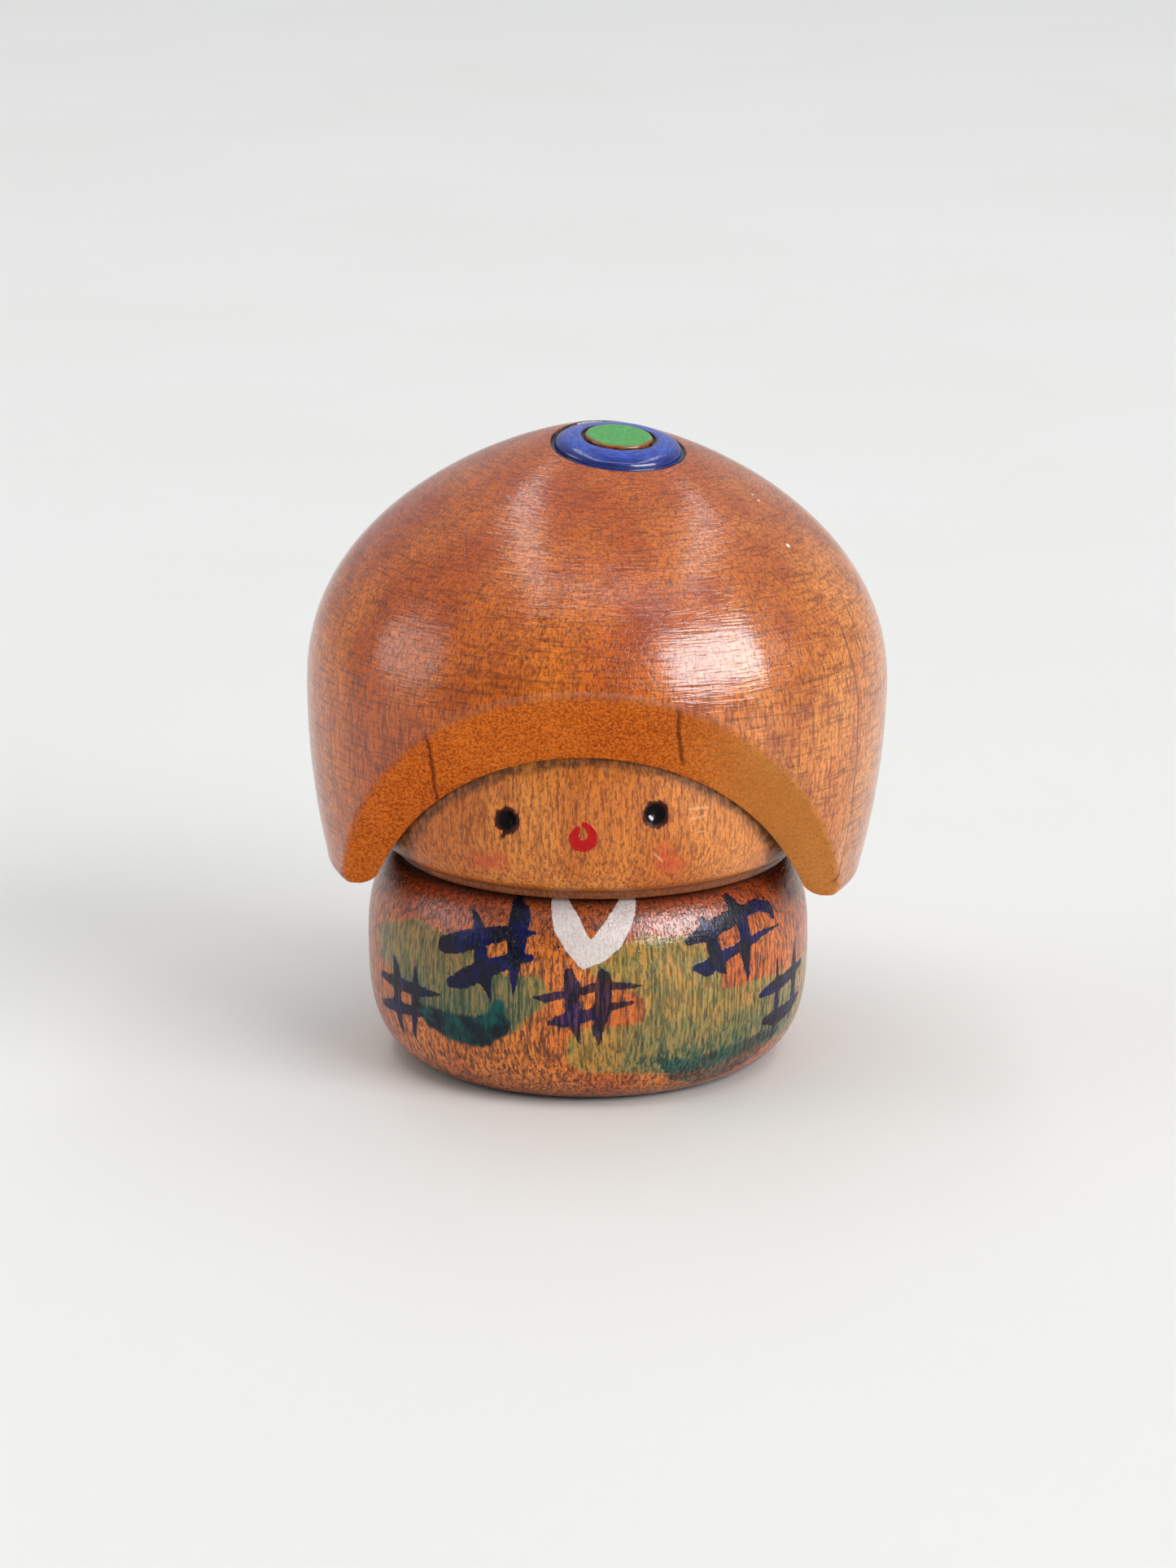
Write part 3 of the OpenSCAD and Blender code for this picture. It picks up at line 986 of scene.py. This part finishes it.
def head_material():
    """Stained wood with burnt eyes, painted mouth and cheeks, and painted shade with soot at the seam."""
    g = Graph("face_wood")
    colour, pore, fibre = grain(
        g, linear(238, 146, 62), linear(218, 120, 40), linear(110, 40, 6), 1.15, 2.4, (40.0, -24.0))
    p = g.place()
    broad, _ = lathe_lines(g)
    x, _, _ = g.parts(p)
    # painted shade mixed with soot where the face goes in under the hood's cut
    seam_blotches = g.noise(p, 1.3, 3.0, 0.6)
    seam_shade_and_grime = g.times(g.near("seam", 0.8, 0.05), g.ease(seam_blotches, 0.3, 0.65, 0.35, 1.0))
    mottle = g.noise(p, 0.8, 3.0, 0.6)
    blush = g.times(g.near("blush", 0.6, -0.9), g.ease(mottle, 0.3, 0.6, 0.3, 0.7))
    red = paint_mask(g, "red", 0.04, 0.2)
    scorch = paint_mask(g, "eye", 0.1, 0.9)
    pupil = g.near("eye", -0.1, -0.45)
    colour = g.over(
        colour,
        # painted light: the face is paler towards the window on the +X side
        (g.ease(x, 6.0, 16.0, 0.0, 0.3), 226, 160, 110),
        (g.times(seam_shade_and_grime, 0.85), 74, 40, 20),
        # painted shade along the chin's bevel, where the head meets the body
        (g.near("chin", 0.9, 0.0, 0.75), 96, 38, 8),
        (blush, 206, 70, 34),
        (g.times(g.near("scratch", 0.1, 0.02), 0.35), 240, 200, 160),
        (g.near("speck", 0.04, -0.02), 24, 28, 16),
        (g.times(red, 0.97), 190, 0, 14),
        (scorch, 70, 20, 6),
        (pupil, 8, 2, 2),
        (g.near("glint", 0.05, -0.05), 236, 236, 236),
    )

    relief = g.weighted((pore, -1.0), (fibre, 0.9), (red, 1.0))
    relief = g.times(relief, g.calc("SUBTRACT", 1.0, pupil))
    roughness = g.blend(pupil, g.ease(broad, 0.3, 0.7, 0.4, 0.54), 0.9)
    coat = g.blend(g.calc("MAXIMUM", scorch, red), 0.5, 0.1)
    return varnished(g, colour, roughness, relief, 0.04, coat, 0.14)


def grain_line(g, p, turn, beside, lean, low, high, width):
    """A dark line where an upright sheet of the wood meets its surface."""
    angle = math.radians(turn)
    _, _, z = g.parts(p)
    outward = (math.sin(angle), -math.cos(angle), 0.0)
    sideways = (math.cos(angle), math.sin(angle), lean)
    middle = beside + lean * (low + high) / 2
    wobble = g.times(g.calc("SUBTRACT", g.noise(p, 0.35, 3.0), 0.5), 0.7)
    offset = g.measure("DOT_PRODUCT", p, sideways)
    offset = g.calc("ADD", g.calc("SUBTRACT", offset, middle), wobble)
    front = g.measure("DOT_PRODUCT", p, outward)
    near = g.ease(g.calc("ABSOLUTE", offset), width, 0.02)
    tall = g.times(g.ease(z, low, low + LINE_FADE), g.ease(z, high, high - LINE_FADE))
    return g.times(g.times(near, tall), g.ease(front, 0.0, 1.0))


def spot(g, p, turn, height, radius, soft, ragged):
    """A round spot on the hood's outside with a ragged edge, at a turn and a height."""
    angle = math.radians(turn)
    r = float(hood_radius(height))
    place = to_frame(np.array([r * math.sin(angle), -r * math.cos(angle), height]))
    gap = g.measure("DISTANCE", p, tuple(place))
    fray = g.calc("SUBTRACT", g.noise(p, 1.2 / radius, 3.0, 0.6), 0.5)
    gap = g.calc("MULTIPLY_ADD", fray, ragged, gap)
    return g.ease(gap, radius + soft, radius - soft)


def greatest(g, masks):
    """The greatest of several masks."""
    most = masks[0]
    for mask in masks[1:]:
        most = g.calc("MAXIMUM", most, mask)
    return most


def button_paint(g, p, colour):
    """The crown button's painted eye and ring, with its burnt grooves."""
    wobble = g.calc("SUBTRACT", g.noise(p, 1.1, 3.0, 0.6), 0.5)
    reach = g.calc("MULTIPLY_ADD", wobble, 0.4, g.attribute("from_button"))
    brushed = g.noise(g.stretched(g.vector("turned"), 5, 5, 3), 1.0, 4.0, 0.7)
    blue = g.mix(g.ease(brushed, 0.4, 0.6), linear(44, 84, 190), linear(22, 50, 150))
    blue = g.over(blue, (g.ease(reach, BUTTON_R - 1.1, BUTTON_R, 0.0, 0.8), 6, 18, 92))
    green = g.mix(g.ease(brushed, 0.35, 0.65), linear(62, 172, 60), linear(34, 140, 46))
    burnt = g.ease(reach, BUTTON_R + GROOVE_W + 0.12, BUTTON_R + GROOVE_W)
    colour = g.over(colour, (burnt, 24, 16, 18))
    colour = g.mix(g.ease(reach, BUTTON_R + 0.2, BUTTON_R + 0.08), colour, blue)
    burnt = g.ease(reach, BUTTON_EYE_R + GROOVE_W + 0.15, BUTTON_EYE_R + GROOVE_W)
    rim = g.ease(reach, BUTTON_EYE_R + 0.1, BUTTON_EYE_R - 0.02)
    colour = g.over(colour, (burnt, 36, 20, 12), (rim, 150, 84, 34))
    return g.mix(g.ease(reach, BUTTON_EYE_R - 0.08, BUTTON_EYE_R - 0.18), colour, green)


def front_cut_wood(g, colour, x, speckle, cut, inside):
    """The sawn front, paler than the turned wall, with painted light on its window side and painted shade
    in the hollow behind.
    """
    raw = g.mix(g.ease(speckle, 0.42, 0.6), linear(234, 122, 36), linear(154, 62, 4))
    # painted light: paler towards the window on the +X side
    raw = g.over(raw, (g.ease(x, 6.0, 16.0, 0.0, 0.85), 206, 138, 66))
    colour = g.mix(g.times(cut, 0.65), colour, raw)
    # painted shade: the hollow inside the hood, darkened
    return g.over(colour, (g.times(inside, 0.85), 56, 22, 8))


def hood_material():
    """Varnished wood with lathe marks, a sawn front and a painted button."""
    g = Graph("hood_wood")
    p = g.place()
    x, _, height = g.parts(p)
    # painted light: the wood is paler towards the window on the +X side
    pale = g.ease(x, 2.0, 20.0, 0.0, 0.65)
    light = g.mix(pale, linear(230, 124, 38), linear(238, 158, 84))
    middle = g.mix(pale, linear(204, 94, 16), linear(218, 132, 58))
    colour, pore, fibre = grain(g, light, middle, linear(96, 28, 3), 1.15)
    broad, fine = lathe_lines(g)
    flame = g.noise(g.stretched(p, 1, 1, 0.3), 0.22, 3.0, 0.6, 0.8)
    blotches = greatest(g, [spot(g, p, *values, 1.2, 2.5) for values in BLOTCHES])
    colour = g.over(
        colour,
        (g.ease(height, 40.0, 52.0, 0.0, 0.3), *RED_BROWN),
        (g.ease(flame, 0.52, 0.7, 0.0, 0.35), *RED_BROWN),
        (g.times(blotches, 0.45), *RED_BROWN),
    )

    cut = g.attribute("on_cut")
    inside = g.attribute("inside")
    turned_wall = g.calc("SUBTRACT", g.calc("SUBTRACT", 1.0, cut), inside)
    fine_lines = g.times(g.times(g.ease(fine, 0.5, 0.66), turned_wall), 0.5)
    broad_lines = g.times(g.times(g.ease(broad, 0.56, 0.7), turned_wall), 0.25)
    colour = g.over(colour, (fine_lines, 100, 36, 8), (broad_lines, 110, 40, 8))
    speckle = g.noise(g.stretched(p, 1, 1, 0.6), 4.4, 3.0, 0.65)
    colour = front_cut_wood(g, colour, x, speckle, cut, inside)
    lines = greatest(g, [grain_line(g, p, *values) for values in GRAIN_LINES])
    chips = greatest(g, [spot(g, p, *values, 0.05, 0.2) for values in CHIPS])
    colour = g.over(colour, (g.times(lines, 0.75), 84, 18, 4), (chips, 244, 232, 222))
    colour = button_paint(g, p, colour)

    painted = g.near("from_button", BUTTON_R + 0.1, BUTTON_R)
    marks = [(g.times(broad, turned_wall), 3.0), (g.times(fine, turned_wall), 3.8)]
    relief = g.weighted((pore, -0.5), (fibre, 0.3), *marks, (g.times(speckle, cut), 3.0))
    relief = g.times(relief, g.blend(painted, 1.0, 0.4))
    relief = g.calc("MULTIPLY_ADD", lines, -2.0, relief)
    roughness = g.blend(turned_wall, 0.65, g.ease(broad, 0.3, 0.7, 0.36, 0.48))
    return varnished(g, colour, roughness, relief, 0.012, g.times(turned_wall, 0.8), 0.11)


def dowel_material():
    """Bare pale wood."""
    g = Graph("bare_dowel_wood")
    light, middle, dark = linear(224, 186, 138), linear(206, 160, 108), linear(150, 104, 60)
    colour, pore, fibre = grain(g, light, middle, dark, 1.0, 1.6)
    relief = g.weighted((pore, -0.8), (fibre, 0.8))
    return g.finish(Base_Color=colour, Roughness=0.68, Normal=g.bump(relief, 0.05))


# ---- floor, light and camera
# Lengths here are in metres, except the floor's height.
LOOK_AT = Vector((0, 0, 0.02365))
CAMERA_DISTANCE = 0.4
CAMERA_HEIGHT = math.radians(15.5)
CAMERA_LENS = 105.7
FLOOR_R = 2.2  # far enough out to fill the camera's view
FLOOR_Z = -0.02  # millimetres, just below the foot
FLOOR_COLUMNS = 96
FRAME_SHINE = 5.5  # brightness of the ceiling lamps in the varnish
BACKDROP = 0.8  # brightness of the plain wall beyond the sheet
BACK_AS_UP = 0.6  # how much the room's light grows towards the back, against upwards


def direction(turn, height):
    """Away from the doll, at a turn and a height."""
    level = math.cos(height)
    return Vector((math.sin(turn) * level, -math.cos(turn) * level, math.sin(height)))


def add_floor():
    """A wide pale sheet, faintly mottled, with its middle under the doll."""
    rings = np.concatenate([np.linspace(0.02, 0.3, 8), np.geomspace(0.4, FLOOR_R, 9)]) * MM
    profile = np.column_stack([rings, np.full(len(rings), FLOOR_Z)])
    points = revolve(profile, ring(FLOOR_COLUMNS)).reshape(-1, 3) / MM
    index = np.arange(len(points)).reshape(len(rings), FLOOR_COLUMNS)
    beside = np.roll(index, -1, axis=1)
    quads = np.stack([index[:-1], index[1:], beside[1:], beside[:-1]], axis=-1).reshape(-1, 4)
    mesh = bpy.data.meshes.new("floor")
    mesh.from_pydata(points.tolist(), [], quads.tolist() + [index[0].tolist()])
    mesh.shade_smooth()
    g = Graph("pale_sheet")
    p = g.place()
    cloud = g.noise(p, 0.012, 3.0, 0.5)
    sheet = g.finish(
        Base_Color=g.mix(cloud, linear(231, 230, 226), linear(236, 236, 234)),
        Roughness=0.6,
        Normal=g.bump(g.noise(p, 2.0, 3.0), 0.01),
    )
    mesh.materials.append(sheet)
    floor = link("floor", mesh)


def add_panel(name, size, location, facing, colour, power, shine, shape="RECTANGLE"):
    """A lamp panel: power is the light it throws, shine its brightness in the varnish.

    Each has its own lamp, the first a little behind the second.
    """
    for kind, energy, behind in [("light", power, 0.01), ("shine", shine, 0.0)]:
        data = bpy.data.lights.new(f"{name}_{kind}", "AREA")
        data.shape = shape
        data.size, data.size_y = size
        data.energy = energy
        data.color = colour
        lamp = link(data.name, data)
        lamp.location = location + facing * behind
        lamp.rotation_euler = facing.to_track_quat("Z", "Y").to_euler()
        lamp.visible_glossy = kind == "shine"
        lamp.visible_diffuse = kind == "light"
        lamp.visible_camera = False


def add_softbox(name, angles, distance, size, colour, power, shine, shape="RECTANGLE"):
    """A panel that faces the doll, from a turn and a height in degrees."""
    away = direction(*(math.radians(angle) for angle in angles))
    add_panel(name, size, LOOK_AT + away * distance, away, colour, power, shine, shape)


def add_light_frame():
    """Three long lamps round an opening in the ceiling, at the front and both sides."""
    white = (1.0, 0.99, 0.97)
    for name, x, y, size in [
        ("frame_front", 0.08, -0.54, (1.35, 0.2)),
        ("frame_left", -0.5, 0.3, (0.2, 1.5)),
        ("frame_right", 0.8, 0.36, (0.2, 1.5)),
    ]:
        add_panel(name, size, Vector((x, y, 1.5)), Vector((0, 0, 1)), white, 3.0, FRAME_SHINE)


def add_back_light():
    """A wide lamp far behind the doll, so that the sheet stays evenly bright."""
    add_panel("back", (3.0, 1.8), Vector((0, 2.0, 1.5)), Vector((0, 0, 1)), (1.0, 1.0, 1.0), 6.5, 0.0)


def add_world():
    """A white room that is bright above and behind the doll and dark in front of it."""
    g = Graph("room", bpy.data.worlds, "BACKGROUND")
    _, back, up = g.parts(g.add("TexCoord", {}, "Generated"))
    rise = g.calc("MULTIPLY_ADD", back, BACK_AS_UP, up)
    inputs = {"Value": rise, "From Min": -0.6, "From Max": 0.8, "To Min": 0.06, "To Max": 0.58}
    brightness = g.add("MapRange", inputs)
    seen = g.add("LightPath", {}, "Is Camera Ray")
    strength = g.blend(seen, brightness, BACKDROP)
    bpy.context.scene.world = g.finish(Color=(0.95, 0.975, 1.0, 1.0), Strength=strength)


def add_camera():
    """The camera, level with a seated viewer's glance down at the doll."""
    data = bpy.data.cameras.new("camera")
    data.lens = CAMERA_LENS
    data.sensor_width = 36
    camera = link("camera", data)
    away = direction(0, CAMERA_HEIGHT)
    camera.location = LOOK_AT + away * CAMERA_DISTANCE
    camera.rotation_euler = away.to_track_quat("Z", "Y").to_euler()
    bpy.context.scene.camera = camera


add_camera()
add_floor()
add_world()
add_softbox("window", (52, 28), 2.4, (1.7, 1.2), (0.95, 0.98, 1.0), 38.0, 118.0)
add_softbox("left_panel", (-84, 18), 2.4, (1.5, 1.3), (1.0, 0.98, 0.96), 9.0, 15.0, "ELLIPSE")
add_light_frame()
add_back_light()

grid, attributes = painted_body()
add_piece(closed_mesh("doll_body", grid, attributes), body_material(), "body", "base")
grid, attributes = painted_head()
add_piece(closed_mesh("doll_head", grid, attributes), head_material(), "head", "head")
grid, attributes = hood_grid()
add_piece(closed_mesh("doll_hood", grid, attributes), hood_material(), "hood", "head")

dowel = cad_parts["neck_dowel"]
dowel.data.materials.clear()
dowel.data.materials.append(dowel_material())

bpy.context.scene.view_settings.view_transform = "Standard"
